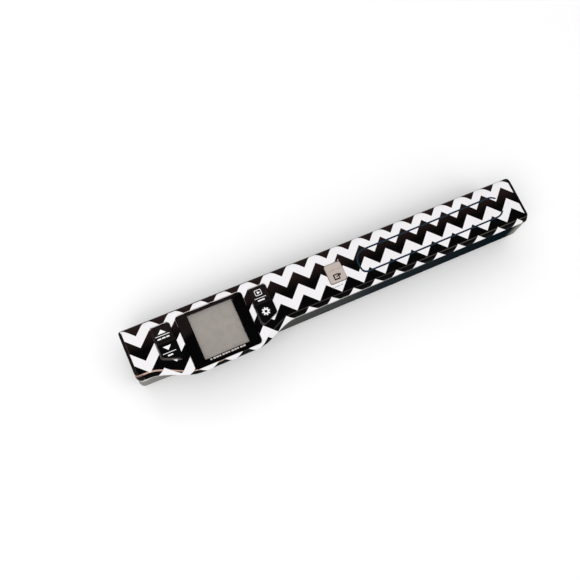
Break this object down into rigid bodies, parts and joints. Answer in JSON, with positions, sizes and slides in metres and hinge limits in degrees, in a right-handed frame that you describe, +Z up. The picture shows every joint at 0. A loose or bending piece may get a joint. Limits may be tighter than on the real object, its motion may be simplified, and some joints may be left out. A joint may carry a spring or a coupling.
{
  "type": "handheld wand scanner",
  "caption": "Slim handheld wand document scanner: two-part housing with a square display, rocking keys, a scan button, a line sensor under the sole and rubber rollers.",
  "frame": {"origin": "on the table under the middle of the bounding box, level with the bottoms of the rollers", "axes": "+X along the wand away from the display end, -Y towards the side that swells around the display, +Z up"},
  "size_m": [0.2598, 0.039, 0.0278],
  "materials": {
    "patterned_cover": "glossy white film with black chevron stripes",
    "grey_shell": "satin dark grey",
    "black_gloss": "gloss black",
    "key_black": "semi-gloss black",
    "screen": "unlit liquid crystal display",
    "button_taupe": "satin taupe",
    "circuit_board": "green solder mask",
    "component_black": "matte black",
    "tin": "tinned sheet",
    "white_plastic": "natural white moulding",
    "battery_wrap": "blue film wrap",
    "clear_glass": "clear",
    "ribbon_film": "amber film",
    "steel": "ground",
    "bronze": "sintered",
    "roller_rubber": "matte black"
  },
  "bodies": {
    "housing": {"top_cover": "patterned_cover", "bottom_cover": "grey_shell", "left_end_trim": "black_gloss", "right_end_trim": "black_gloss", "display_window": "black_gloss", "display_module": "screen", "main_board": "circuit_board", "processor": "component_black", "up_switch": "tin", "down_switch": "tin", "play_switch": "tin", "settings_switch": "tin", "scan_switch": "tin", "usb_port": "tin", "card_socket": "tin", "battery_connector": "white_plastic", "battery_pack": "battery_wrap", "battery_lead": "component_black", "sensor_housing": "component_black", "scan_glass": "clear_glass", "light_guide": "clear_glass", "guide_lamp": "white_plastic", "rod_lens_array": "clear_glass", "sensor_board": "circuit_board", "sensor_ribbon": "ribbon_film", "left_shaft_bush": "bronze", "right_shaft_bush": "bronze", "encoder_pin": "steel", "encoder_eye": "component_black", "front_left_pin": "steel", "front_right_pin": "steel", "left_rear_screw": "steel", "left_front_screw": "steel", "right_rear_screw": "steel", "right_front_screw": "steel"},
    "left_key": {"left_rocker_key": "key_black"},
    "right_key": {"right_rocker_key": "key_black"},
    "scan_key": {"scan_button": "button_taupe"},
    "drive_roller": {"roller_shaft": "steel", "rear_left_roller": "roller_rubber", "rear_right_roller": "roller_rubber", "roller_gear": "white_plastic"},
    "encoder": {"encoder_wheel": "white_plastic"},
    "front_left_idler": {"front_left_roller": "roller_rubber"},
    "front_right_idler": {"front_right_roller": "roller_rubber"}
  },
  "joints": [
    {"name": "left_key_rock", "type": "hinge", "parent": "housing", "child": "left_key", "pos_m": [-0.1074, 0.00358, 0.0244], "axis": [1, 0, 0], "range_deg": [-2.2, 2.2], "stiffness_Nm_per_rad": 0.1},
    {"name": "right_key_rock", "type": "hinge", "parent": "housing", "child": "right_key", "pos_m": [-0.0483, 0.00358, 0.0244], "axis": [1, 0, 0], "range_deg": [-2.2, 2.2], "stiffness_Nm_per_rad": 0.1},
    {"name": "scan_press", "type": "slide", "parent": "housing", "child": "scan_key", "axis": [0, 0, -1], "range_m": [0, 0.0005], "stiffness_N_per_m": 400},
    {"name": "drive_roller_spin", "type": "hinge", "parent": "housing", "child": "drive_roller", "pos_m": [0, 0.0134, 0.0039], "axis": [1, 0, 0], "continuous": true},
    {"name": "encoder_spin", "type": "hinge", "parent": "housing", "child": "encoder", "pos_m": [-0.09375, 0.0134, 0.00898], "axis": [1, 0, 0], "continuous": true},
    {"name": "front_left_spin", "type": "hinge", "parent": "housing", "child": "front_left_idler", "pos_m": [-0.09885, -0.0067, 0.0039], "axis": [1, 0, 0], "continuous": true},
    {"name": "front_right_spin", "type": "hinge", "parent": "housing", "child": "front_right_idler", "pos_m": [0.09885, -0.0067, 0.0039], "axis": [1, 0, 0], "continuous": true}
  ],
  "couplings": [
    {"joint": "encoder_spin", "follows": "drive_roller_spin", "ratio": -0.78571}
  ]
}
